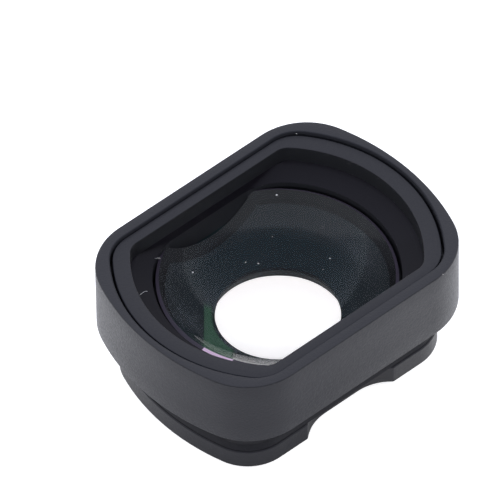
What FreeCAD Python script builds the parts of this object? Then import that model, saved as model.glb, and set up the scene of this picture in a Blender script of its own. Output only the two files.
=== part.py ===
import FreeCAD, Part
import math
import os

# Conversion lens for a small gimbal camera, in millimetres.
# X runs along the long axis, Y across the two straight sides, Z up the optical axis.
# The flat rear face of the mount plate is at z = 0 and the rim is at the top.
# Sizes run outwards from the optics, so a wider lens makes a wider body.

# Aperture and rear doublet
aperture_radius = 6.05         # clear hole in the bottom of the lens cell
rear_lens_margin = 1.7         # how far the rear doublet reaches past the aperture
doublet_curve_radius = 50.0    # front face and cemented face
flint_centre = 0.45            # thickness on the axis
crown_centre = 1.73
spacer_width = 0.65
spacer_height = 0.36
air_gap = 0.25                 # crown vertex to front lens vertex

# Retaining ring behind the doublet
retainer_recess = 0.3
retainer_height = 0.6
retainer_lip = 0.2             # how far it covers the edge of the doublet
retainer_flange = 0.55         # how far its thread stands outside the doublet
retainer_bevel = 0.45
spanner_slot_width = 1.0
spanner_slot_depth = 0.35

# Front lens: a meniscus with a deep hollow front, cut flat on two sides
lens_radius = 11.18
lens_bevel_width = 0.3         # ground edge outside the crest of the hollow face
lens_bevel_drop = 0.2
lens_centre = 1.0
bowl_depth = 5.88              # crest to vertex of the hollow face
lens_side_gap = 0.05           # lens flat to the flat wall of the cell
lens_edge_gap = 0.3            # lens edge to the bore of the cell
lens_seat_width = 0.36         # ground flat on the rear edge
lens_below_hood = 0.34         # crest of the lens under the top of the bore
flat_lean = 8.8                # how far the flats lean in towards the rear, in degrees

# Lens cell: the black bowl that carries the front lens
cell_wall = 0.35
cell_floor = 1.4               # below the seat of the lens
hood_width = 1.97              # sloped ring between bore and hood edge
hood_height = 0.85
hood_half_width = 9.8          # flat walls of the hood
cell_lip = 0.78                # cell outside the hood, at the ends
cell_side_wall = 0.57          # the same, at the straight sides
cell_corner_radius = 3.0
hood_corner_radius = 1.6

# Front ring, set down into the rim
ring_height = 1.74
ring_recess = 0.3              # below the rim
ring_face_end = 1.63
ring_face_side = 1.1
ring_gap_end = 0.3             # dark groove between ring and rim
ring_gap_side = 0.15
ring_edge_break = 0.08

# Housing
rim_width_end = 0.62
rim_width_side = 1.05
pocket_corner_radius = 3.7
body_end_radius = 23.6
body_corner_radius = 6.3
body_edge_break = 0.12
pocket_edge_break = 0.08
neck_height = 3.8              # mount plate to the underside of the body
neck_wall = 0.5                # beside the bowl, where the neck meets the body
neck_inset = 0.6               # neck inside the edge of the mount plate

# Mount plate
end_overhang = 2.0             # body past the plate at the bowed ends
plate_height = 2.2
plate_end_radius = 22.6
plate_corner_radius = 4.47
plate_edge_break = 0.28
plate_top_break = 0.1
scallop_wall = 0.42            # plate between the retaining ring and a scallop
scallop_cutter_radius = 4.7
scallop_flat = 4.0
scallop_corner_land = 0.02     # left of the corner's rounding by the edge break

# Magnets in the rear face
magnet_radius = 1.25
magnet_height = 1.0
magnet_sink = 0.05
end_magnet_inset = 2.3         # from the tip of the plate
end_magnet_spacing = 4.6
corner_magnet_wall = 1.4       # plate between the retaining ring and the magnet
corner_magnet_angle = 43.0     # from the long axis, in degrees

# Countersunk screws that hold the plate to the neck
screw_radius = 0.7
screw_head_radius = 1.2
screw_head_height = 0.55
screw_sink = 0.05
screw_grip = 2.0               # length in the housing
screw_runout = 0.3             # hole past the tip of the screw
screw_inset_x = 2.8
screw_magnet_gap = 0.55        # screw head to end magnet
drive_length = 1.4
drive_width = 0.3
drive_depth = 0.3

# Clearances between pieces
seat_clearance = 0.05          # cell in housing, lens on bowl, rings in bores
screw_clearance = 0.02
cement_gap = 0.01
hole_margin = 0.5              # hole in the web past the aperture

# Radii and half widths that follow
rear_lens_radius = aperture_radius + rear_lens_margin
rear_bore_radius = rear_lens_radius + seat_clearance
spacer_inner_radius = rear_lens_radius - spacer_width
retainer_radius = rear_lens_radius + retainer_flange
retainer_opening = rear_lens_radius - retainer_lip
cell_bore_radius = lens_radius + lens_edge_gap
hood_radius = cell_bore_radius + hood_width
cell_radius = hood_radius + cell_lip
cell_half_width = hood_half_width + cell_side_wall
ring_radius = hood_radius + ring_face_end
ring_half_width = hood_half_width + ring_face_side
pocket_radius = ring_radius + ring_gap_end
pocket_half_width = ring_half_width + ring_gap_side
body_half_length = pocket_radius + rim_width_end
body_half_width = pocket_half_width + rim_width_side
lens_crest_radius = lens_radius - lens_bevel_width

# Heights that follow, from the rear face up
retainer_top = retainer_recess + retainer_height
cement_vertex = retainer_top + flint_centre
crown_vertex = cement_vertex + crown_centre
front_rear_vertex = crown_vertex + air_gap
front_vertex = front_rear_vertex + lens_centre
lens_crest_z = front_vertex + bowl_depth
hood_bottom = lens_crest_z + lens_below_hood
hood_top = hood_bottom + hood_height
ring_top = hood_top + ring_height
body_top = ring_top + ring_recess


def sag(sphere_radius, radius):
    return sphere_radius - math.sqrt(sphere_radius ** 2 - radius ** 2)


# Spheres of the bowl all share one centre on the axis
front_sphere = (lens_crest_radius ** 2 + bowl_depth ** 2) / (2 * bowl_depth)
bowl_centre_z = front_vertex + front_sphere
rear_sphere = front_sphere + lens_centre
cell_inner_sphere = rear_sphere + seat_clearance
cell_outer_sphere = cell_inner_sphere + cell_wall
housing_sphere = cell_outer_sphere + seat_clearance


def bowl_z(sphere_radius, radius):
    return bowl_centre_z - math.sqrt(sphere_radius ** 2 - radius ** 2)


def bowl_radius(sphere_radius, z):
    return math.sqrt(sphere_radius ** 2 - (bowl_centre_z - z) ** 2)


lens_seat_z = bowl_z(rear_sphere, lens_radius - lens_seat_width)
cell_seat_z = lens_seat_z - cell_floor
body_bottom = plate_height + neck_height
crown_seat_z = crown_vertex - sag(doublet_curve_radius, spacer_inner_radius)
web_bottom = crown_seat_z + spacer_height

# The neck clears the bowl at the level where the body starts
neck_half_width = bowl_radius(housing_sphere, body_bottom) + neck_wall
plate_half_width = neck_half_width + neck_inset
plate_half_length = body_half_length - end_overhang
neck_half_length = plate_half_length - neck_inset
scallop_depth = plate_half_width - retainer_radius - seat_clearance - scallop_wall
scallop_corner_radius = plate_edge_break + scallop_corner_land

tolerance = 1e-4               # for finding edges by place


def vec(x, y, z=0.0):
    return FreeCAD.Vector(x, y, z)


def bowed_outline(half_length, half_width, end_radius, corner_radius, z):
    # Two straight sides and two bowed ends, with the corners rounded
    end_centre = half_length - end_radius
    corner_y = half_width - corner_radius
    corner_x = end_centre + math.sqrt((end_radius - corner_radius) ** 2 - corner_y ** 2)
    lean = math.atan2(corner_y, corner_x - end_centre)
    joint = (end_centre + end_radius * math.cos(lean), end_radius * math.sin(lean))
    middle_angle = (lean + math.pi / 2) / 2
    middle = (corner_x + corner_radius * math.cos(middle_angle),
              corner_y + corner_radius * math.sin(middle_angle))

    def at(point, sx, sy):
        return vec(sx * point[0], sy * point[1], z)

    side = (corner_x, half_width)
    tip = (half_length, 0.0)
    edges = []
    for sx in (1, -1):
        edges.append(Part.LineSegment(at(side, -1, sx), at(side, 1, sx)))
        edges.append(Part.Arc(at(joint, sx, 1), at(tip, sx, 1), at(joint, sx, -1)))
        for sy in (1, -1):
            edges.append(Part.Arc(at(side, sx, sy), at(middle, sx, sy), at(joint, sx, sy)))
    ordered = Part.__sortEdges__([edge.toShape() for edge in edges])
    return Part.Wire(ordered)


def bowed_prism(half_length, half_width, end_radius, corner_radius, bottom, top):
    outline = bowed_outline(half_length, half_width, end_radius, corner_radius, bottom)
    return Part.Face(outline).extrude(vec(0, 0, top - bottom))


def cut_round_prism(radius, half_width, corner_radius, bottom, top):
    # A disc with two flats, the form that the ring, its pocket and the cell share
    return bowed_prism(radius, half_width, radius, corner_radius, bottom, top)


def cylinder(radius, bottom, top, x=0.0, y=0.0):
    return Part.makeCylinder(radius, top - bottom, vec(x, y, bottom))


def cone(bottom_radius, top_radius, bottom, top, x=0.0, y=0.0):
    return Part.makeCone(bottom_radius, top_radius, top - bottom, vec(x, y, bottom))


def between_flats(gap, bottom, top):
    # Everything between the two leaning flats, less a gap at each
    reach = 2 * body_half_length
    lean = math.tan(math.radians(flat_lean))
    low = hood_half_width - gap - (hood_top - bottom) * lean
    high = hood_half_width - gap - (hood_top - top) * lean
    corners = [(-low, bottom), (low, bottom), (high, top), (-high, top), (-low, bottom)]
    section = Part.makePolygon([vec(-reach, y, z) for y, z in corners])
    return Part.Face(section).extrude(vec(2 * reach, 0, 0))


def turned(points):
    # A solid of revolution; a point with three values is the middle of an arc
    edges = []
    start = points[0]
    through = None
    for point in points[1:] + points[:1]:
        if len(point) == 3:
            through = point
            continue
        first = vec(start[0], 0, start[1])
        last = vec(point[0], 0, point[1])
        if through:
            middle = vec(through[0], 0, through[1])
            edges.append(Part.Arc(first, middle, last).toShape())
            through = None
        else:
            edges.append(Part.LineSegment(first, last).toShape())
        start = point
    face = Part.Face(Part.Wire(edges))
    return face.revolve(vec(0, 0, 0), vec(0, 0, 1), 360)


def bowl_arc(sphere_radius, from_radius, to_radius):
    # The middle point of an arc on one of the bowl's spheres
    radius = (from_radius + to_radius) / 2
    return (radius, bowl_z(sphere_radius, radius), "arc")


def level_edges(shape, z, half_length, half_width):
    # Edges in the plane z that stay inside the given half sizes
    found = []
    for edge in shape.Edges:
        box = edge.BoundBox
        flat = abs(box.ZMin - z) < tolerance and abs(box.ZMax - z) < tolerance
        inside_x = max(abs(box.XMin), abs(box.XMax)) < half_length + tolerance
        inside_y = max(abs(box.YMin), abs(box.YMax)) < half_width + tolerance
        if flat and inside_x and inside_y:
            found.append(edge)
    return found


def four_places(x, y):
    return [(sx * x, sy * y) for sx in (1, -1) for sy in (1, -1)]


end_magnet_x = plate_half_length - end_magnet_inset
end_magnet_y = end_magnet_spacing / 2
corner_magnet_reach = retainer_radius + corner_magnet_wall + magnet_radius
corner_magnet_x = corner_magnet_reach * math.cos(math.radians(corner_magnet_angle))
corner_magnet_y = corner_magnet_reach * math.sin(math.radians(corner_magnet_angle))

screw_x = plate_half_length - screw_inset_x
screw_y = end_magnet_y + magnet_radius + screw_magnet_gap + screw_head_radius
screw_places = four_places(screw_x, screw_y)
screw_tip = plate_height + screw_grip
magnet_names = ["right_upper", "right_lower", "left_upper", "left_lower"]


def magnet_places():
    places = {}
    ends = four_places(end_magnet_x, end_magnet_y)
    corners = four_places(corner_magnet_x, corner_magnet_y)
    for name, end, corner in zip(magnet_names, ends, corners):
        places["end_magnet_" + name] = end
        places["corner_magnet_" + name] = corner
    return places


def make_housing():
    body = bowed_prism(body_half_length, body_half_width, body_end_radius,
                       body_corner_radius, body_bottom, body_top)
    outer = (body_half_length, body_half_width)
    rim = level_edges(body, body_top, *outer) + level_edges(body, body_bottom, *outer)
    body = body.makeFillet(body_edge_break, rim)

    neck = bowed_prism(neck_half_length, neck_half_width, plate_end_radius - neck_inset,
                       plate_corner_radius - neck_inset, plate_height, cell_seat_z)
    shell = body.fuse(neck)

    pocket = cut_round_prism(pocket_radius, pocket_half_width, pocket_corner_radius,
                             hood_top, body_top)
    well = cut_round_prism(cell_radius + seat_clearance, cell_half_width + seat_clearance,
                           cell_corner_radius + seat_clearance, cell_seat_z, hood_top)
    web_hole = aperture_radius + hole_margin
    well_radius = bowl_radius(housing_sphere, cell_seat_z)
    passage = turned([
        (0, plate_height),
        (rear_bore_radius, plate_height),
        (rear_bore_radius, web_bottom),
        (web_hole, web_bottom),
        (web_hole, bowl_z(housing_sphere, web_hole)),
        bowl_arc(housing_sphere, web_hole, well_radius),
        (well_radius, cell_seat_z),
        (0, cell_seat_z),
    ])
    shell = shell.cut([pocket, well, passage])
    for x, y in screw_places:
        shell = shell.cut(cylinder(screw_radius, plate_height, screw_tip + screw_runout, x, y))
    shell = shell.removeSplitter()
    mouth = level_edges(shell, body_top, pocket_radius, pocket_half_width)
    return shell.makeChamfer(pocket_edge_break, mouth)


def make_front_ring():
    ring = cut_round_prism(ring_radius, ring_half_width, pocket_corner_radius - ring_gap_side,
                           hood_top, ring_top)
    opening = cut_round_prism(hood_radius, hood_half_width, hood_corner_radius,
                              hood_top, ring_top)
    ring = ring.cut(opening)
    top = level_edges(ring, ring_top, ring_radius, ring_half_width)
    return ring.makeChamfer(ring_edge_break, top)


def make_lens_cell():
    rim = cut_round_prism(cell_radius, cell_half_width, cell_corner_radius,
                          cell_seat_z, hood_top)
    foot_radius = bowl_radius(cell_outer_sphere, cell_seat_z)
    foot_z = bowl_z(cell_outer_sphere, aperture_radius)
    bowl = turned([
        (0, foot_z),
        (aperture_radius, foot_z),
        bowl_arc(cell_outer_sphere, aperture_radius, foot_radius),
        (foot_radius, cell_seat_z),
        (0, cell_seat_z),
    ])
    seat_radius = bowl_radius(cell_inner_sphere, lens_seat_z)
    hollow = turned([
        (0, foot_z),
        (aperture_radius, foot_z),
        (aperture_radius, bowl_z(cell_inner_sphere, aperture_radius)),
        bowl_arc(cell_inner_sphere, aperture_radius, seat_radius),
        (seat_radius, lens_seat_z),
        (cell_bore_radius, lens_seat_z),
        (cell_bore_radius, hood_bottom),
        (hood_radius, hood_top),
        (0, hood_top),
    ])
    hollow = hollow.common(between_flats(0, foot_z, hood_top))
    corners = cut_round_prism(hood_radius + seat_clearance, hood_half_width,
                              hood_corner_radius, foot_z, hood_top)
    return rim.fuse(bowl).cut(hollow.common(corners)).removeSplitter()


def make_front_lens():
    seat_inner = lens_radius - lens_seat_width
    meniscus = turned([
        (0, front_rear_vertex),
        bowl_arc(rear_sphere, 0, seat_inner),
        (seat_inner, lens_seat_z),
        (lens_radius, lens_seat_z),
        (lens_radius, lens_crest_z - lens_bevel_drop),
        (lens_crest_radius, lens_crest_z),
        bowl_arc(front_sphere, 0, lens_crest_radius),
        (0, front_vertex),
    ])
    return meniscus.common(between_flats(lens_side_gap, 0, hood_top))


def make_spacer_ring():
    ring = cylinder(rear_lens_radius, crown_seat_z, web_bottom)
    return ring.cut(cylinder(spacer_inner_radius, crown_seat_z, web_bottom))


def cement_z(radius):
    return cement_vertex + sag(doublet_curve_radius, radius)


def make_rear_crown_lens():
    half_in = spacer_inner_radius / 2
    half_out = rear_lens_radius / 2
    return turned([
        (0, cement_vertex + cement_gap),
        (half_out, cement_z(half_out) + cement_gap, "arc"),
        (rear_lens_radius, cement_z(rear_lens_radius) + cement_gap),
        (rear_lens_radius, crown_seat_z),
        (spacer_inner_radius, crown_seat_z),
        (half_in, crown_vertex - sag(doublet_curve_radius, half_in), "arc"),
        (0, crown_vertex),
    ])


def make_rear_flint_lens():
    half_out = rear_lens_radius / 2
    return turned([
        (0, retainer_top),
        (rear_lens_radius, retainer_top),
        (rear_lens_radius, cement_z(rear_lens_radius)),
        (half_out, cement_z(half_out), "arc"),
        (0, cement_vertex),
    ])


def make_lens_retainer():
    ring = turned([
        (retainer_opening + retainer_bevel, retainer_recess),
        (retainer_radius, retainer_recess),
        (retainer_radius, retainer_top),
        (retainer_opening, retainer_top),
        (retainer_opening, retainer_recess + retainer_bevel),
    ])
    slot = Part.makeBox(2 * retainer_radius, spanner_slot_width, spanner_slot_depth,
                        vec(-retainer_radius, -spanner_slot_width / 2, retainer_recess))
    return ring.cut(slot)


def scallop_cutter(side):
    centre_y = side * (plate_half_width - scallop_depth + scallop_cutter_radius)
    half_flat = scallop_flat / 2
    ends = [cylinder(scallop_cutter_radius, 0, plate_height, x, centre_y)
            for x in (-half_flat, half_flat)]
    middle = Part.makeBox(scallop_flat, 2 * scallop_cutter_radius, plate_height,
                          vec(-half_flat, centre_y - scallop_cutter_radius, 0))
    return middle.fuse(ends).removeSplitter()


def scallop_corners(plate):
    # Upright edges where the scallops meet the straight sides
    corners = []
    for edge in plate.Edges:
        box = edge.BoundBox
        upright = box.ZLength > plate_height / 2
        on_side = abs(abs(box.YMin) - plate_half_width) < tolerance
        if upright and on_side and abs(box.XMin) < scallop_flat / 2 + scallop_cutter_radius:
            corners.append(edge)
    return corners


def make_mount_plate():
    plate = bowed_prism(plate_half_length, plate_half_width, plate_end_radius,
                        plate_corner_radius, 0, plate_height)
    plate = plate.cut([scallop_cutter(1), scallop_cutter(-1)])
    plate = plate.makeFillet(scallop_corner_radius, scallop_corners(plate))
    outer = (plate_half_length, plate_half_width)
    plate = plate.makeChamfer(plate_edge_break, level_edges(plate, 0, *outer))
    plate = plate.makeChamfer(plate_top_break, level_edges(plate, plate_height, *outer))

    cuts = [
        cylinder(retainer_radius + seat_clearance, 0, retainer_top),
        cylinder(rear_bore_radius, retainer_top, plate_height),
    ]
    pocket_top = magnet_sink + magnet_height + seat_clearance
    for x, y in magnet_places().values():
        cuts.append(cylinder(magnet_radius + seat_clearance, 0, pocket_top, x, y))
    head_top = screw_sink + screw_head_height
    for x, y in screw_places:
        cuts.append(cylinder(screw_head_radius + screw_clearance, 0, screw_sink, x, y))
        cuts.append(cone(screw_head_radius + screw_clearance, screw_radius + screw_clearance,
                         screw_sink, head_top, x, y))
        cuts.append(cylinder(screw_radius + screw_clearance, head_top, plate_height, x, y))
    return plate.cut(cuts)


def make_magnet(x, y):
    disc = cylinder(magnet_radius, magnet_sink, magnet_sink + magnet_height, x, y)
    rear_edge = [edge for edge in disc.Edges
                 if abs(edge.BoundBox.ZMax - magnet_sink) < tolerance]
    return disc.makeChamfer(seat_clearance, rear_edge)


def make_screw(x, y):
    shank_radius = screw_radius - screw_clearance
    head_top = screw_sink + screw_head_height
    head = cone(screw_head_radius, shank_radius, screw_sink, head_top, x, y)
    shank = cylinder(shank_radius, head_top, screw_tip, x, y)
    screw = head.fuse(shank)
    for length, width in ((drive_length, drive_width), (drive_width, drive_length)):
        corner = vec(x - length / 2, y - width / 2, screw_sink)
        screw = screw.cut(Part.makeBox(length, width, drive_depth, corner))
    return screw


def make_plate_screws():
    return Part.makeCompound([make_screw(x, y) for x, y in screw_places])


def make_parts():
    parts = {
        "housing": make_housing(),
        "front_ring": make_front_ring(),
        "lens_cell": make_lens_cell(),
        "front_lens": make_front_lens(),
        "spacer_ring": make_spacer_ring(),
        "rear_crown_lens": make_rear_crown_lens(),
        "rear_flint_lens": make_rear_flint_lens(),
        "lens_retainer": make_lens_retainer(),
        "mount_plate": make_mount_plate(),
        "plate_screws": make_plate_screws(),
    }
    for name, (x, y) in magnet_places().items():
        parts[name] = make_magnet(x, y)
    return parts


os.makedirs("parts", exist_ok=True)
for node, shape in make_parts().items():
    shape.exportStep("parts/" + node + ".step")
    box = shape.BoundBox
    print(node, len(shape.Solids), "solid, valid", shape.isValid(),
          "volume", round(shape.Volume, 2),
          "z", round(box.ZMin, 3), "to", round(box.ZMax, 3))
print("body", round(2 * body_half_length, 2), "x", round(2 * body_half_width, 2),
      "x", round(body_top, 2))
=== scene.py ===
import math
import random
import bpy
from mathutils import Matrix, Vector


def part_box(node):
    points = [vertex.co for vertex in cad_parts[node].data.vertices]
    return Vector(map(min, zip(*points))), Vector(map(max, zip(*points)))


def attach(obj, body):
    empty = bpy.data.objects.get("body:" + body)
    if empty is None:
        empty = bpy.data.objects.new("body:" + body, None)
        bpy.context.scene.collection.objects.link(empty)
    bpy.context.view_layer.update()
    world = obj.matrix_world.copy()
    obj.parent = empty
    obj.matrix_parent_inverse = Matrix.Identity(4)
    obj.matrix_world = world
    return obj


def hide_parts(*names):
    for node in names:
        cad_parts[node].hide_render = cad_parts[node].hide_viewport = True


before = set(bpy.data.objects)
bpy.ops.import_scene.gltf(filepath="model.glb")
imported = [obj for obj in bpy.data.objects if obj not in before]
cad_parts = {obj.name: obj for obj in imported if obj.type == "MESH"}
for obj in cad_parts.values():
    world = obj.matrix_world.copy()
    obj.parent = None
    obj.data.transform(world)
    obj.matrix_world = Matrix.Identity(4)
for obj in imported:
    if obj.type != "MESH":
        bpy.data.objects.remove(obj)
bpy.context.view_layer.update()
mm = 0.001
apart = 0.01  # mm between rings of a surface that would else share one height
scene = bpy.context.scene
scene.view_settings.view_transform = "Standard"
print("frame loaded:", len(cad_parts), "nodes")


def boxOf(node):  # a node's lowest and highest corner in mm
    low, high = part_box(node)
    return [v / mm for v in low], [v / mm for v in high]


housingLow, housingHigh = boxOf("housing")
ringLow, ringHigh = boxOf("front_ring")
cellHigh, lensHigh, plateHigh = (boxOf(node)[1] for node in ("lens_cell", "front_lens", "mount_plate"))


# shared helpers: colours, nodes, outlines and rings

def linear(hexColour):  # sRGB hex to linear, for every colour below
    values = [int(hexColour[i:i + 2], 16) / 255 for i in (1, 3, 5)]
    curved = [v / 12.92 if v <= 0.04045 else ((v + 0.055) / 1.055) ** 2.4 for v in values]
    return (*curved, 1.0)


def add(tree, kind, inputs=None, **settings):  # one node, its settings, its values and its links
    node = tree.nodes.new(kind)
    for name, value in settings.items():
        setattr(node, name, value)
    for socket, value in (inputs or {}).items():
        if isinstance(value, bpy.types.NodeSocket):
            tree.links.new(value, node.inputs[socket])
        else:
            node.inputs[socket].default_value = value
    return node


def newMaterial(name):
    material = bpy.data.materials.new(name)
    material.use_nodes = True
    material.node_tree.nodes.clear()
    return material, material.node_tree


outlineSteps = {"end": 20, "corner": 14, "side": 24}  # per quarter, quarter and whole side
edgeTurns = [math.radians(a) for a in (0, 22.5, 45, 67.5, 90)]  # of every rounded edge
roundShare = 0.985  # of a circle's radius, at which its flats start, so that they keep a little width
sharpAngle = 32  # degrees between faces, from which an edge is drawn sharp


def spread(first, last, count):
    return [first + (last - first) * i / count for i in range(count)]


def mirrored(quarter):
    # a quarter from +X round to +Y becomes the whole outline
    right = [(x, -y) for x, y in reversed(quarter)] + quarter[1:]
    left = [(-x, -y) for x, y in right]
    straight = []
    count = outlineSteps["side"]
    for (startX, startY), (endX, endY) in ((right[-1], left[0]), (left[-1], right[0])):
        inner = [(startX + (endX - startX) * i / count, startY + (endY - startY) * i / count)
                 for i in range(1, count)]
        straight.append(inner)
    return right + straight[0] + left + straight[1]


def bowed(halfLength, halfWidth, endRadius, cornerRadius, grow=0.0):
    # two straight sides, two bowed ends, four rounded corners; grow keeps the centres
    endCentre = halfLength - endRadius
    cornerY = halfWidth - cornerRadius
    cornerX = endCentre + math.sqrt((endRadius - cornerRadius) ** 2 - cornerY ** 2)
    lean = math.atan2(cornerY, cornerX - endCentre)
    end, corner = endRadius + grow, cornerRadius + grow
    quarter = [(endCentre + end * math.cos(a), end * math.sin(a))
               for a in spread(0, lean, outlineSteps["end"])]
    quarter += [(cornerX + corner * math.cos(a), cornerY + corner * math.sin(a))
                for a in spread(lean, math.pi / 2, outlineSteps["corner"])]
    quarter.append((cornerX, halfWidth + grow))
    return mirrored(quarter)


def cutRound(radius, halfWidth, cornerRadius, grow=0.0):
    return bowed(radius, halfWidth, radius, cornerRadius, grow)


def cutCircle(radius, halfWidth):
    # a circle with two flats and sharp corners; the plain circle where it clears them
    corner = math.asin(min(halfWidth / radius, roundShare))
    count = outlineSteps["end"] + outlineSteps["corner"]
    arc = [(radius * math.cos(a), radius * math.sin(a)) for a in spread(0, corner, count)]
    arc.append((radius * math.cos(corner), radius * math.sin(corner)))
    whole = mirrored(arc)
    result = []
    for x, y in whole:
        if abs(x) < arc[-1][0]:
            y = math.copysign(min(halfWidth, math.sqrt(radius ** 2 - x ** 2)), y)
        result.append((x, y))
    return result


def circle(radius):
    return cutCircle(radius, radius)


def level(outline, z):
    return [(x, y, z) for x, y in outline]


def stack(name, rings, closed, material, body="root"):
    # quads between rings of one count; closed joins last to first, else both ends get a fan
    count = len(rings[0])
    points = [Vector(p) * mm for ring in rings for p in ring]
    faces = []
    pairs = [(k, k + 1) for k in range(len(rings) - 1)]
    if closed:
        pairs.append((len(rings) - 1, 0))
    for a, b in pairs:
        for i in range(count):
            j = (i + 1) % count
            faces.append((a * count + i, b * count + i, b * count + j, a * count + j))
    if not closed:
        for k, turn in ((0, 1), (len(rings) - 1, -1)):
            middle = len(points)
            points.append(sum((Vector(p) for p in rings[k]), Vector()) / count * mm)
            for i in range(count):
                j = (i + 1) % count
                faces.append((middle, k * count + i, k * count + j)[::turn])
    mesh = bpy.data.meshes.new(name)
    mesh.from_pydata(points, [], faces)
    mesh.validate()
    mesh.shade_smooth()
    mesh.set_sharp_from_angle(angle=math.radians(sharpAngle))
    mesh.materials.append(material)
    obj = bpy.data.objects.new(name, mesh)
    scene.collection.objects.link(obj)
    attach(obj, body)
    return obj


def paint(obj, count, rows, slot):  # gives whole rows of faces another material
    for face in obj.data.polygons:
        if face.index // count in rows:
            face.material_index = slot


# camera: long lens, near parallel, at the photograph's angle
camera = {
    "azimuth": -40.535,   # degrees from +Y, about Z
    "elevation": 47.85,
    "roll": -0.951,
    "distance": 1304.4,   # mm
    "aim": (-1.57, 1.966, 13.44),  # mm, in the plane of the rim
    "focal": 1025.6,      # mm on the sensor's width
    "sensor": 36,         # mm
    "clip": (0.05, 20),   # m
}


def makeCamera():
    azimuth, elevation, roll = (math.radians(camera[k]) for k in ("azimuth", "elevation", "roll"))
    forward = Vector((-math.sin(azimuth) * math.cos(elevation),
                      math.cos(azimuth) * math.cos(elevation), -math.sin(elevation)))
    sideways = forward.cross(Vector((0, 0, 1))).normalized()
    upright = sideways.cross(forward)
    right = sideways * math.cos(roll) + upright * math.sin(roll)
    up = upright * math.cos(roll) - sideways * math.sin(roll)
    place = (Vector(camera["aim"]) - forward * camera["distance"]) * mm
    data = bpy.data.cameras.new("viewCamera")
    data.lens = camera["focal"]
    data.sensor_width = camera["sensor"]
    data.clip_start, data.clip_end = camera["clip"]
    obj = bpy.data.objects.new("viewCamera", data)
    obj.matrix_world = Matrix.Translation(place) @ Matrix((right, up, -forward)).transposed().to_4x4()
    scene.collection.objects.link(obj)
    scene.camera = obj


# studio: white table and room, and soft lamps that only the walls and rims feel
# ranges of height and of side are parts of a direction of length 1, from none of an effect to all
studio = {
    "tableSize": 3.0,       # m
    "tableDrop": 0.02,      # mm under the foot
    "tableColour": "#e0e0e0",
    "tableGlow": 0.7,       # what the camera sees on top of the lit table
    "tableGloss": (0.0, 0.75),    # what gloss on the object sees on top of it, in front and behind
    "wallColour": "#ffffff",
    "ceilingColour": "#e6eaff",
    "wallLight": 0.7,
    "ceilingLight": 1.3,
    "ceilingHeight": (0.1, 0.7),
    "backSide": (0.65, 0.76, 0),  # the lit backdrop behind the lens
    "backLight": 2.0,
    "backWidth": (0.0, 0.7),
    "backHeight": (0.2, 0.02),
    "darkSide": 0.78,       # how much the room behind the camera is dimmed
    "darkWidth": (-0.05, -0.5),
    "darkHeight": (0.8, 0.66),
    "lamps": [  # name, place in mm, size in mm, watts
        ("leftBox", (-520, 300, 260), 320, 0.6),
        ("rightBox", (480, -330, 260), 320, 1.1),
        ("lowLamp", (-386, -289, 141), 12, 1.6),  # rakes over the glass
    ],
}


def makeTable():
    material, tree = newMaterial("whiteTable")
    path = add(tree, "ShaderNodeLightPath")
    lit = add(tree, "ShaderNodeBsdfDiffuse", {"Color": linear(studio["tableColour"])})
    glow = add(tree, "ShaderNodeMath", {0: path.outputs["Is Camera Ray"], 1: studio["tableGlow"]},
               operation="MULTIPLY")
    place = add(tree, "ShaderNodeTexCoord").outputs["Object"]
    outward = add(tree, "ShaderNodeVectorMath", {0: place}, operation="NORMALIZE")
    side = add(tree, "ShaderNodeVectorMath", {0: outward.outputs[0], 1: studio["backSide"]},
               operation="DOT_PRODUCT")
    inFront, behind = studio["tableGloss"]
    brightness = add(tree, "ShaderNodeMapRange",
                     {"Value": side.outputs["Value"], "From Min": -1.0, "From Max": 0.0,
                      "To Min": inFront, "To Max": behind})
    gloss = add(tree, "ShaderNodeMath", {0: path.outputs["Is Glossy Ray"], 1: brightness.outputs[0]},
                operation="MULTIPLY")
    seen = add(tree, "ShaderNodeMath", {0: gloss.outputs[0], 1: path.outputs["Is Transmission Ray"]},
               operation="MAXIMUM")
    most = add(tree, "ShaderNodeMath", {0: glow.outputs[0], 1: seen.outputs[0]}, operation="MAXIMUM")
    white = add(tree, "ShaderNodeEmission", {"Strength": most.outputs[0]})
    both = add(tree, "ShaderNodeAddShader", {0: lit.outputs[0], 1: white.outputs[0]})
    add(tree, "ShaderNodeOutputMaterial", {"Surface": both.outputs[0]})
    half = studio["tableSize"] / 2
    mesh = bpy.data.meshes.new("table")
    mesh.from_pydata([(-half, -half, 0), (half, -half, 0), (half, half, 0), (-half, half, 0)], [],
                     [(0, 1, 2, 3)])
    mesh.materials.append(material)
    table = bpy.data.objects.new("table", mesh)
    table.location.z = -studio["tableDrop"] * mm
    scene.collection.objects.link(table)


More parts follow.
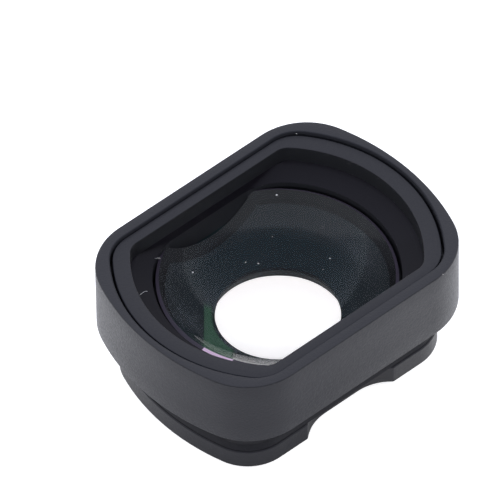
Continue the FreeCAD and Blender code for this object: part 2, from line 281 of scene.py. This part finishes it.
def makeRoom():
    world = bpy.data.worlds.new("room")
    scene.world = world
    world.use_nodes = True
    tree = world.node_tree
    tree.nodes.clear()
    path = add(tree, "ShaderNodeLightPath")
    direction = add(tree, "ShaderNodeTexCoord").outputs["Generated"]
    height = add(tree, "ShaderNodeSeparateXYZ", {0: direction}).outputs["Z"]
    side = add(tree, "ShaderNodeVectorMath", {0: direction, 1: studio["backSide"]},
               operation="DOT_PRODUCT").outputs["Value"]
    ramps = {}
    for name, value in (("ceilingHeight", height), ("backWidth", side), ("backHeight", height),
                        ("darkWidth", side), ("darkHeight", height)):
        start, full = studio[name]
        ramps[name] = add(tree, "ShaderNodeMapRange", {"Value": value, "From Min": start, "From Max": full},
                          interpolation_type="SMOOTHSTEP").outputs[0]
    colour = add(tree, "ShaderNodeMix",
                 {0: ramps["ceilingHeight"], 6: linear(studio["wallColour"]),
                  7: linear(studio["ceilingColour"])}, data_type="RGBA")
    plain = add(tree, "ShaderNodeMapRange",
                {"Value": ramps["ceilingHeight"], "To Min": studio["wallLight"],
                 "To Max": studio["ceilingLight"]})
    dark = add(tree, "ShaderNodeMath", {0: ramps["darkWidth"], 1: ramps["darkHeight"]},
               operation="MULTIPLY")
    kept = add(tree, "ShaderNodeMath", {0: dark.outputs[0], 1: -studio["darkSide"], 2: 1.0},
               operation="MULTIPLY_ADD")
    back = add(tree, "ShaderNodeMath", {0: ramps["backWidth"], 1: ramps["backHeight"]},
               operation="MULTIPLY")
    backLight = add(tree, "ShaderNodeMath", {0: back.outputs[0], 1: studio["backLight"]},
                    operation="MULTIPLY")
    total = add(tree, "ShaderNodeMath", {0: plain.outputs[0], 1: kept.outputs[0], 2: backLight.outputs[0]},
                operation="MULTIPLY_ADD")
    room = add(tree, "ShaderNodeBackground",
               {"Color": colour.outputs[2], "Strength": total.outputs[0]})
    backdrop = add(tree, "ShaderNodeBackground", {"Color": (1, 1, 1, 1), "Strength": 1.0})
    mix = add(tree, "ShaderNodeMixShader",
              {0: path.outputs["Is Camera Ray"], 1: room.outputs[0], 2: backdrop.outputs[0]})
    add(tree, "ShaderNodeOutputWorld", {"Surface": mix.outputs[0]})


def makeLamps():
    for name, place, size, watts in studio["lamps"]:
        data = bpy.data.lights.new(name, "AREA")
        data.shape = "SQUARE"
        data.size = size * mm
        data.energy = watts
        lamp = bpy.data.objects.new(name, data)
        lamp.location = Vector(place) * mm
        lamp.rotation_euler = Vector(place).to_track_quat("Z", "Y").to_euler()
        lamp.visible_glossy = False  # soft light with no square patch in the glass
        lamp.visible_transmission = False
        scene.collection.objects.link(lamp)


makeCamera()
makeTable()
makeRoom()
makeLamps()
print("camera and studio ready")


# finishes: one function for each kind of surface, then each finish with its values

def anodisedAluminium(name, colour, roughness, relief):
    # black-dyed anodised aluminium, bead-blasted: dark, satin, with a fine grain and faint clouds
    # the blasted grain is about 0.03 mm; it is drawn at 0.2 mm so that it shows
    material, tree = newMaterial(name)
    place = add(tree, "ShaderNodeTexCoord").outputs["Object"]
    cloud = add(tree, "ShaderNodeTexNoise", {"Vector": place, "Scale": 1 / (5 * mm), "Detail": 4.0})
    grain = add(tree, "ShaderNodeTexNoise", {"Vector": place, "Scale": 1 / (0.2 * mm), "Detail": 2.0})
    tone = add(tree, "ShaderNodeMapRange", {"Value": cloud.outputs["Fac"], "To Min": 0.85, "To Max": 1.15})
    grit = add(tree, "ShaderNodeMapRange",
               {"Value": grain.outputs["Fac"], "From Min": 0.3, "From Max": 0.7,
                "To Min": 0.7, "To Max": 1.3})
    both = add(tree, "ShaderNodeMath", {0: tone.outputs[0], 1: grit.outputs[0]}, operation="MULTIPLY")
    dye = add(tree, "ShaderNodeMix", {0: 1.0, 6: linear(colour), 7: both.outputs[0]},
              data_type="RGBA", blend_type="MULTIPLY")
    rough = add(tree, "ShaderNodeMapRange",
                {"Value": grain.outputs["Fac"], "From Min": 0.3, "From Max": 0.7,
                 "To Min": roughness - 0.08, "To Max": roughness + 0.08})
    bump = add(tree, "ShaderNodeBump",
               {"Height": grain.outputs["Fac"], "Strength": relief, "Distance": 0.03 * mm})
    shader = add(tree, "ShaderNodeBsdfPrincipled",
                 {"Base Color": dye.outputs[2], "Roughness": rough.outputs[0],
                  "Normal": bump.outputs[0], "IOR": 1.5})  # the dyed oxide, which hides the metal
    add(tree, "ShaderNodeOutputMaterial", {"Surface": shader.outputs[0]})
    return material


def mattPaint(name, colour, roughness, grain=0.06, gloss=0.5):
    # sprayed matt paint, and the ground or dusty faces that look like it: soft, dry, fine-grained; it also
    # carries the painted highlight on the lens bevel and the painted teal reflection in the bowl
    # grain is in mm, gloss is the specular level
    material, tree = newMaterial(name)
    place = add(tree, "ShaderNodeTexCoord").outputs["Object"]
    fine = add(tree, "ShaderNodeTexNoise", {"Vector": place, "Scale": 1 / (grain * mm), "Detail": 3.0})
    rough = add(tree, "ShaderNodeMapRange",
                {"Value": fine.outputs["Fac"], "To Min": roughness - 0.05, "To Max": roughness + 0.05})
    bump = add(tree, "ShaderNodeBump",
               {"Height": fine.outputs["Fac"], "Strength": 0.3, "Distance": 0.02 * mm})
    shader = add(tree, "ShaderNodeBsdfPrincipled",
                 {"Base Color": linear(colour), "Roughness": rough.outputs[0],
                  "Normal": bump.outputs[0], "IOR": 1.45, "Specular IOR Level": gloss})
    add(tree, "ShaderNodeOutputMaterial", {"Surface": shader.outputs[0]})
    return material


# zones of the front glass, as ramps from none to all of an effect, in mm along a measure of place: a
# painted reflection, painted shade, and extra dust that is partly painted light
zones = {
    "across": (0.751, -0.66, 0), "along": (0.66, 0.751, 0),  # measures shift and reach
    "hole": (-0.53, -0.6, 0),     # middle of the light hole as the front face shows it
    # the ghost zone is a painted reflection, a green patch of diffuse colour on the glass
    "paintedGhost": [("shift", -4.0, -4.2), ("reach", 0.9, -0.1), ("shift", -6.9, -6.7), ("hole", 6.07, 6.17)],
    "shade": [("shift", -4.0, -4.2), ("reach", -4, -5), ("radius", 8.6, 8.75)],
    "farDustAndLight": [("radius", 8.4, 8.8), ("reach", 0, 5)],
    "paintedGhostColour": "#40604a",     # painted reflection: a green second image in the rear coat, at the near edge of the hole, laid on as diffuse colour
    "shadeColour": "#1c2426",     # painted shade on the near outer slope, standing in for its reflection of the dark cell
    "share": 0.6,                 # of those two painted colours over the clear glass
    "farDustAndLightShare": 0.026,           # extra pale dust on the far outer slope, partly dust and partly painted light that lightens that side
}


def zoneMasks(tree, place):
    flat = add(tree, "ShaderNodeVectorMath", {0: place, 1: (1, 1, 0)}, operation="MULTIPLY")
    measures = {}
    for measure, source, vector, operation in (
            ("shift", place, zones["across"], "DOT_PRODUCT"),
            ("reach", place, zones["along"], "DOT_PRODUCT"),
            ("radius", flat.outputs[0], (0, 0, 0), "DISTANCE"),
            ("hole", flat.outputs[0], Vector(zones["hole"]) * mm, "DISTANCE")):
        node = add(tree, "ShaderNodeVectorMath", {0: source, 1: vector}, operation=operation)
        measures[measure] = node.outputs["Value"]
    masks = {}
    for zone in ("paintedGhost", "shade", "farDustAndLight"):
        mask = 1.0
        for measure, start, full in zones[zone]:
            ramp = add(tree, "ShaderNodeMapRange",
                       {"Value": measures[measure], "From Min": start * mm, "From Max": full * mm})
            mask = add(tree, "ShaderNodeMath", {0: mask, 1: ramp.outputs[0]},
                       operation="MULTIPLY").outputs[0]
        masks[zone] = mask
    return masks


def coatedGlass(name, ior, residue, dust, paintedZones=False):
    # polished optical glass with a broadband coat: clear, with a weak teal reflection, a little dusty; with
    # painted zones it also carries a painted reflection, painted shade and painted light as diffuse colour
    material, tree = newMaterial(name)
    place = add(tree, "ShaderNodeTexCoord").outputs["Object"]
    haze = add(tree, "ShaderNodeTexNoise", {"Vector": place, "Scale": 1 / (4 * mm), "Detail": 3.0})
    wipe = add(tree, "ShaderNodeBump",
               {"Height": haze.outputs["Fac"], "Strength": 0.004, "Distance": 0.01 * mm})
    clear = add(tree, "ShaderNodeBsdfPrincipled",
                {"Base Color": (1, 1, 1, 1), "Roughness": 0.0, "IOR": ior, "Normal": wipe.outputs[0],
                 "Transmission Weight": 1.0, "Specular Tint": linear(residue)})
    dustCoat = add(tree, "ShaderNodeBsdfDiffuse", {"Color": linear("#d8dce0")})
    dusty = add(tree, "ShaderNodeMapRange",
                {"Value": haze.outputs["Fac"], "From Min": 0.3, "From Max": 0.7,
                 "To Min": dust * 0.8, "To Max": dust * 1.2})
    if paintedZones:
        masks = zoneMasks(tree, place)
        # the far outer slope gets more of the pale dust coat, partly dust and partly painted light
        dusty = add(tree, "ShaderNodeMath",
                    {0: masks["farDustAndLight"], 1: zones["farDustAndLightShare"], 2: dusty.outputs[0]},
                    operation="MULTIPLY_ADD")
        # the painted reflection and the painted shade are laid over the clear glass as a diffuse colour
        paintedMask = add(tree, "ShaderNodeMath", {0: masks["paintedGhost"], 1: masks["shade"]}, operation="MAXIMUM")
        tint = add(tree, "ShaderNodeMix",
                   {0: masks["paintedGhost"], 6: linear(zones["shadeColour"]), 7: linear(zones["paintedGhostColour"])},
                   data_type="RGBA")
        seen = add(tree, "ShaderNodeBsdfDiffuse", {"Color": tint.outputs[2]})
        share = add(tree, "ShaderNodeMath", {0: paintedMask.outputs[0], 1: zones["share"]},
                    operation="MULTIPLY")
        clear = add(tree, "ShaderNodeMixShader",
                    {0: share.outputs[0], 1: clear.outputs[0], 2: seen.outputs[0]})
    both = add(tree, "ShaderNodeMixShader",
               {0: dusty.outputs[0], 1: clear.outputs[0], 2: dustCoat.outputs[0]})
    add(tree, "ShaderNodeOutputMaterial", {"Surface": both.outputs[0]})
    return material


def platedMetal(name, colour, roughness):
    # plated or blackened steel: bright where bare, with fine scratches from handling
    # the scratches are about 0.02 mm wide; they are drawn at 0.1 mm so that they show
    material, tree = newMaterial(name)
    place = add(tree, "ShaderNodeTexCoord").outputs["Object"]
    fine = add(tree, "ShaderNodeTexNoise", {"Vector": place, "Scale": 1 / (0.1 * mm), "Detail": 4.0})
    rough = add(tree, "ShaderNodeMapRange",
                {"Value": fine.outputs["Fac"], "To Min": roughness - 0.08, "To Max": roughness + 0.08})
    bump = add(tree, "ShaderNodeBump",
               {"Height": fine.outputs["Fac"], "Strength": 0.15, "Distance": 0.01 * mm})
    shader = add(tree, "ShaderNodeBsdfPrincipled",
                 {"Base Color": linear(colour), "Metallic": 1.0, "Roughness": rough.outputs[0],
                  "Normal": bump.outputs[0]})
    add(tree, "ShaderNodeOutputMaterial", {"Surface": shader.outputs[0]})
    return material


bodyFinish = anodisedAluminium("blastedAnodisedAluminium", "#17171a", roughness=0.43, relief=0.9)
ringFinish = anodisedAluminium("blastedAnodisedRing", "#121216", roughness=0.52, relief=0.5)
plateFinish = anodisedAluminium("blastedAnodisedPlate", "#1a1a1e", roughness=0.46, relief=0.5)
# a lighter, matt grey than the body, for both walls of the groove round the ring
grooveFinish = mattPaint("lighterGreyGroove", "#1d1e23", roughness=0.7, grain=0.05)
cellFinish = mattPaint("mattBlackPaint", "#0b090f", roughness=0.6, gloss=0.3)
# black paint with a teal tint, which is a painted reflection of the coat
bowlFinish = mattPaint("blackPaintWithTealReflection", "#182527", roughness=0.65, gloss=0.3)
seatFinish = mattPaint("greyBlackPaint", "#18191c", roughness=0.6)
dustFinish = mattPaint("paleDust", "#f0f0ec", roughness=0.8, grain=0.03)
# painted highlight: a pink-white streak of diffuse colour on a stretch of the lens bevel
paintedGlintFinish = mattPaint("paintedHighlightBevel", "#ffdcf2", roughness=0.4, grain=0.05)
edgeFinish = mattPaint("edgeBlackening", "#040405", roughness=0.6, grain=0.05)
bevelFinish = mattPaint("groundGlass", "#443e48", roughness=0.45, grain=0.05)
frontGlass = coatedGlass("coatedFrontGlass", ior=1.52, residue="#2a4044", dust=0.011, paintedZones=True)
rearGlass = coatedGlass("coatedRearGlass", ior=1.6, residue="#5a8070", dust=0.002)
screwFinish = platedMetal("blackOxideSteel", "#1c1b1b", roughness=0.4)
magnetFinish = platedMetal("nickelPlate", "#b8b4ab", roughness=0.3)


# spheres and leaning flats that the housing, the lens cell and the front lens share
bowl = {  # mm
    "centreZ": 17.335, "front": 13.005, "rear": 14.005,  # one centre, a radius for each face
    "cellInner": 14.055, "cellOuter": 14.405, "housing": 14.455,
    "lean": 8.8,  # degrees
    "hoodHalfWidth": 9.8, "hoodRadius": 13.45, "seatZ": 8.44, "aperture": 6.05,
}


def flatAt(z):  # half width of the hollow at a height
    return bowl["hoodHalfWidth"] - (cellHigh[2] - z) * math.tan(math.radians(bowl["lean"]))


def sphereZ(sphere, radius):
    return bowl["centreZ"] - math.sqrt(max(bowl[sphere] ** 2 - radius ** 2, 0))


def bowlRadius(sphere, z):
    return math.sqrt(bowl[sphere] ** 2 - (bowl["centreZ"] - z) ** 2)


# housing: vertical walls, rounded rim, pocket for the ring, neck and bores
housing = {  # mm
    "endRadius": 23.6, "cornerRadius": 6.3, "edge": 0.13, "wallBand": 2.0,
    "rimEnd": 0.62, "rimSide": 1.05, "pocketCorner": 3.7, "pocketEdge": 0.115,
    "pocketTight": 0.045,  # closer round the ring than the solids are, as a fitted ring looks
    "bottom": 6.0, "foot": 0.42, "neckInset": 0.6, "neckEnd": 22.0, "neckCorner": 3.87,
    "wellGap": 0.05, "wellCorner": 3.05, "wellFloor": 7.05,
    "boreRadius": 7.8, "webHole": 6.55, "webBottom": 2.93, "webSteps": 8,
}


def makeHousing():
    h = housing
    outer = (housingHigh[0], housingHigh[1], h["endRadius"], h["cornerRadius"])
    top = housingHigh[2]
    pocket = (housingHigh[0] - h["rimEnd"], housingHigh[1] - h["rimSide"], h["pocketCorner"])
    neck = (plateHigh[0] - h["neckInset"], plateHigh[1] - h["neckInset"], h["neckEnd"], h["neckCorner"])
    edge = h["edge"]
    rings = [level(bowed(*outer, grow=edge * (math.cos(a) - 1)), top + edge * (math.sin(a) - 1))
             for a in reversed(edgeTurns)]
    rings += [level(bowed(*outer), z) for z in (top - h["wallBand"], h["bottom"] + h["wallBand"])]
    rings += [level(bowed(*outer, grow=edge * (math.cos(a) - 1)), h["bottom"] + edge * (1 - math.sin(a)))
              for a in edgeTurns]
    rings += [level(bowed(*neck), z) for z in (h["bottom"], housingLow[2] + h["foot"])]
    rings.append(level(bowed(*neck, grow=h["foot"]), housingLow[2]))  # flared foot, not scalloped
    rings += [level(circle(h["boreRadius"]), z) for z in (housingLow[2], h["webBottom"])]
    rings.append(level(circle(h["webHole"]), h["webBottom"]))
    wellRadius = bowlRadius("housing", h["wellFloor"])
    for i in range(h["webSteps"] + 1):
        radius = h["webHole"] + (wellRadius - h["webHole"]) * i / h["webSteps"]
        rings.append(level(circle(radius), sphereZ("housing", radius)))
    well = cutRound(cellHigh[0] + h["wellGap"], cellHigh[1] + h["wellGap"], h["wellCorner"])
    rings += [level(well, h["wellFloor"] + apart), level(well, ringLow[2])]
    lip, tight = h["pocketEdge"], h["pocketTight"]
    groove = len(rings)
    rings.append(level(cutRound(*pocket, grow=-tight), ringLow[2] + apart))
    rings += [level(cutRound(*pocket, grow=lip * (1 - math.cos(a)) - tight), top - lip * (1 - math.sin(a)))
              for a in edgeTurns]
    obj = stack("visualHousing", rings, True, bodyFinish)
    obj.data.materials.append(grooveFinish)  # the groove round the ring gets a lighter, matt grey paint than the body
    paint(obj, len(rings[0]), range(groove, len(rings) - 1), 1)
    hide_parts("housing")


makeHousing()


# front ring: flat face, softened edges, opening with rounded corners
frontRing = {"cornerRadius": 3.55, "openingCorner": 1.6, "edge": 0.08}


def makeFrontRing():
    r = frontRing
    outer = (ringHigh[0], ringHigh[1], r["cornerRadius"])
    opening = (bowl["hoodRadius"], bowl["hoodHalfWidth"], r["openingCorner"])
    edge = r["edge"]
    rings = [level(cutRound(*outer), ringLow[2])]
    rings += [level(cutRound(*outer, grow=edge * (math.cos(a) - 1)), ringHigh[2] + edge * (math.sin(a) - 1))
              for a in edgeTurns]
    groove = len(rings) - 1
    rings += [level(cutRound(*opening, grow=edge * (1 - math.cos(a))),
                    ringHigh[2] + edge * (math.sin(a) - 1)) for a in reversed(edgeTurns)]
    rings.append(level(cutRound(*opening), ringLow[2]))
    obj = stack("visualFrontRing", rings, True, ringFinish)
    obj.data.materials.append(seatFinish)  # the wall of the opening is blackened
    paint(obj, len(rings[0]), [len(rings) - 2], 1)
    # the ring's outer wall in the groove gets the lighter grey groove paint
    obj.data.materials.append(grooveFinish)
    paint(obj, len(rings[0]), range(groove), 2)
    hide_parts("front_ring")


makeFrontRing()


# lens cell: bowl with the light hole, seat and bore for the glass, sloped hood
lensCell = {  # mm
    "bowlTop": 10.88,  # radius at which the bowl meets the seat
    "bowlSteps": 26,
    "boreRadius": 11.48, "boreCorner": 6.0, "boreBand": 1.2,
    "hoodBottom": 10.54, "hoodCorner": 3.2, "hoodSteps": 5,
    "outerCorner": 3.0, "lipDrop": 0.005, "floorDrop": 1.4, "underside": (8.4, 7.2),
}


def makeLensCell():
    c = lensCell
    halfLength, halfWidth, top = cellHigh
    aperture, seat = bowl["aperture"], bowl["seatZ"]
    rings = [level(circle(aperture), sphereZ("cellOuter", aperture))]
    for i in range(c["bowlSteps"] + 1):
        radius = aperture + (c["bowlTop"] - aperture) * i / c["bowlSteps"]
        z = sphereZ("cellInner", radius)
        rings.append(level(cutCircle(radius, flatAt(z)), z))
    bowlRows = len(rings) - 1
    rings.append(level(cutCircle(c["boreRadius"], flatAt(seat + apart)), seat + apart))
    for z in (c["hoodBottom"] - c["boreBand"], c["hoodBottom"]):
        rings.append(level(cutRound(c["boreRadius"], flatAt(z), c["boreCorner"]), z))
    hoodRow = len(rings) - 1
    for i in range(1, c["hoodSteps"] + 1):
        t = i / c["hoodSteps"]
        z = c["hoodBottom"] + (top - c["hoodBottom"]) * t
        radius = c["boreRadius"] + (bowl["hoodRadius"] - c["boreRadius"]) * t
        corner = c["boreCorner"] + (c["hoodCorner"] - c["boreCorner"]) * t
        rings.append(level(cutRound(radius, flatAt(z), corner), z))
    floor = seat - c["floorDrop"]
    rings.append(level(cutRound(halfLength, halfWidth, c["outerCorner"]), top - c["lipDrop"]))
    rings.append(level(cutRound(halfLength, halfWidth, c["outerCorner"]), floor))
    rings.append(level(circle(bowlRadius("cellOuter", floor)), floor - apart))
    for radius in c["underside"]:
        rings.append(level(circle(radius), sphereZ("cellOuter", radius)))
    obj = stack("visualLensCell", rings, True, cellFinish)
    # the bowl gets the black paint with its painted teal reflection
    obj.data.materials.append(bowlFinish)
    paint(obj, len(rings[0]), range(1, bowlRows), 1)
    obj.data.materials.append(seatFinish)
    paint(obj, len(rings[0]), range(bowlRows, hoodRow), 2)
    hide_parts("lens_cell")


# front lens: hollow face, ground bevel, edge cut by the leaning flats, rear face with a ground seat
frontLens = {  # mm
    "radius": 11.18, "bevelWidth": 0.3, "bevelDrop": 0.2, "sideGap": 0.05, "seatWidth": 0.36,
    "edgeStep": 0.004,    # keeps the rings apart on the flats
    "onFlat": 1e-3,       # a point of the edge at least this far under the crest lies on a flat
    "onWidth": 1e-6,      # the same, across the flats
    "leanRounds": 8,      # until the lean and the sphere agree
    "faceSteps": 40,
    "paintedGlint": (190, 206),  # degrees from +X, the stretch of the bevel with a painted highlight
}


def cutBoundary(sphere, radius):
    # where a sphere meets the lens's leaning flats and its own outer circle, in plan
    gap = frontLens["sideGap"]
    width = flatAt(sphereZ(sphere, radius)) - gap
    points = []
    for x, y in cutCircle(radius, width):
        if abs(abs(y) - width) < frontLens["onWidth"]:
            side = abs(y)
            for _ in range(frontLens["leanRounds"]):
                side = flatAt(sphereZ(sphere, math.hypot(x, side))) - gap
            y = math.copysign(side, y)
        points.append((x, y, sphereZ(sphere, math.hypot(x, y))))
    return points


def scaled(boundary, sphere, share):
    return [(x * share, y * share, sphereZ(sphere, math.hypot(x, y) * share)) for x, y, z in boundary]


def makeFrontLens():
    f = frontLens
    crest = cutBoundary("front", f["radius"] - f["bevelWidth"])
    seat = cutBoundary("rear", f["radius"] - f["seatWidth"])
    step, seatZ = f["edgeStep"], bowl["seatZ"]
    edgeTop, edgeBottom = [], []
    topZ = lensHigh[2] - f["bevelDrop"]
    for (x, y, z), (bx, by) in zip(crest, cutCircle(f["radius"], flatAt(topZ) - f["sideGap"])):
        onFlat = z < lensHigh[2] - f["onFlat"]
        edgeTop.append((x, y, z - step) if onFlat else (bx, by, topZ))
    for (x, y, z), (bx, by) in zip(seat, cutCircle(f["radius"], flatAt(seatZ) - f["sideGap"])):
        onFlat = z < sphereZ("rear", f["radius"] - f["seatWidth"]) - f["onFlat"]
        edgeBottom.append((x, y, z + step) if onFlat else (bx, by, seatZ + step))
    shares = [i / f["faceSteps"] for i in range(2, f["faceSteps"] + 1)]
    rings = [scaled(crest, "front", s) for s in shares]
    bevel = len(rings) - 1
    rings += [edgeTop, edgeBottom]
    rings += [scaled(seat, "rear", s) for s in reversed(shares)]
    obj = stack("visualFrontLens", rings, False, frontGlass)
    for finish in (edgeFinish, bevelFinish, paintedGlintFinish):
        obj.data.materials.append(finish)
    paint(obj, len(crest), [bevel + 1, bevel + 2], 1)
    paint(obj, len(crest), [bevel], 2)
    # a stretch of the bevel gets the painted highlight
    for face in obj.data.polygons:
        turn = math.degrees(math.atan2(face.center.y, face.center.x)) % 360
        if face.material_index == 2 and f["paintedGlint"][0] < turn < f["paintedGlint"][1]:
            face.material_index = 3
    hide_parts("front_lens")


makeLensCell()
makeFrontLens()
print("housing, ring, cell and lens built")


# dust: specks where they show on the glass, the rim and the near wall, and two short fibres
dust = {
    # x, y and size of each speck, in mm
    "glass": [(-3.79, 7.53, 0.12), (1.48, 6.2, 0.07), (2.41, 5.46, 0.08), (6.92, 8.01, 0.11),
              (4.85, 6.26, 0.05), (7.26, 0.97, 0.08), (6.25, 0.81, 0.04), (8.51, 3.34, 0.035),
              (-2.16, 9.5, 0.045)],
    "rim": [(1.11, 11.6, 0.05), (-0.98, 11.6, 0.05), (2.55, 11.6, 0.04), (11.2, 10.0, 0.04),
            (15.3, -2.6, 0.04), (9.63, -11.93, 0.13)],
    # x, z and size, on the near straight wall
    "wall": [(-0.23, 12.63, 0.05), (2.92, 11.0, 0.05), (0.84, 10.48, 0.035), (-3.1, 9.4, 0.03),
             (5.4, 8.2, 0.03)],
    # the route of each fibre
    "fibres": [((-11.5, 6.0, 11.3), (-10.9, 6.0, 11.35), (-10.65, 5.85, 11.3)),
               ((-7.45, 8.55, 11.2), (-7.2, 8.35, 11.25), (-7.05, 8.15, 11.2))],
    "fibreRadius": 0.013, "sides": 6, "flatness": 0.6,
    "uneven": (0.7, 1.2),  # least and most reach of a speck, as shares of its size
    "seed": 7,
}


def speck(points, faces, place, size, chance):
    # a small uneven grain: two fans back to back
    first = len(points)
    sides = dust["sides"]
    x, y, z = place
    turn = chance.uniform(0, math.pi)
    for i in range(sides):
        a = turn + 2 * math.pi * i / sides
        r = size * chance.uniform(*dust["uneven"])
        points.append(Vector((x + r * math.cos(a), y + r * math.sin(a), z)) * mm)
    for side in (1, -1):
        points.append(Vector((x, y, z + side * size * dust["flatness"])) * mm)
        tip = len(points) - 1
        for i in range(sides):
            j = (i + 1) % sides
            faces.append((first + i, first + j, tip)[::side])


def makeDust():
    chance = random.Random(dust["seed"])
    onGlass = [(x, y, sphereZ("front", math.hypot(x, y)), s) for x, y, s in dust["glass"]]
    onBody = [(x, y, housingHigh[2] - s * dust["flatness"], s) for x, y, s in dust["rim"]]
    onBody += [(x, housingLow[1] + s * dust["uneven"][1], z, s) for x, z, s in dust["wall"]]
    for name, grains, slot in (("visualGlassDust", onGlass, "coated_glass"),
                               ("visualBodyDust", onBody, "anodised_body")):
        points, faces = [], []
        for x, y, z, size in grains:
            speck(points, faces, (x, y, z), size, chance)
        mesh = bpy.data.meshes.new(name)
        mesh.from_pydata(points, [], faces)
        mesh.materials.append(dustFinish)
        obj = bpy.data.objects.new(name, mesh)
        scene.collection.objects.link(obj)
        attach(obj, "root")
    for number, route in enumerate(dust["fibres"]):
        radius = dust["fibreRadius"]
        rings = []
        for x, y, z in route:
            rings.append([(x, y + radius * math.cos(a), z + radius * math.sin(a))
                          for a in spread(0, 2 * math.pi, dust["sides"])])
        obj = stack(f"visualFibre{number + 1}", rings, False, dustFinish)


makeDust()
print("dust laid")


# the solids that show as they are
def dress(node, finish):
    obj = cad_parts[node]
    obj.data.materials.clear()
    obj.data.materials.append(finish)


for node, finish in (("spacer_ring", cellFinish), ("rear_crown_lens", rearGlass),
                     ("rear_flint_lens", rearGlass), ("lens_retainer", ringFinish),
                     ("mount_plate", plateFinish), ("plate_screws", screwFinish)):
    dress(node, finish)
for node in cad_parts:
    if "magnet" in node:
        dress(node, magnetFinish)
print("finishes on")
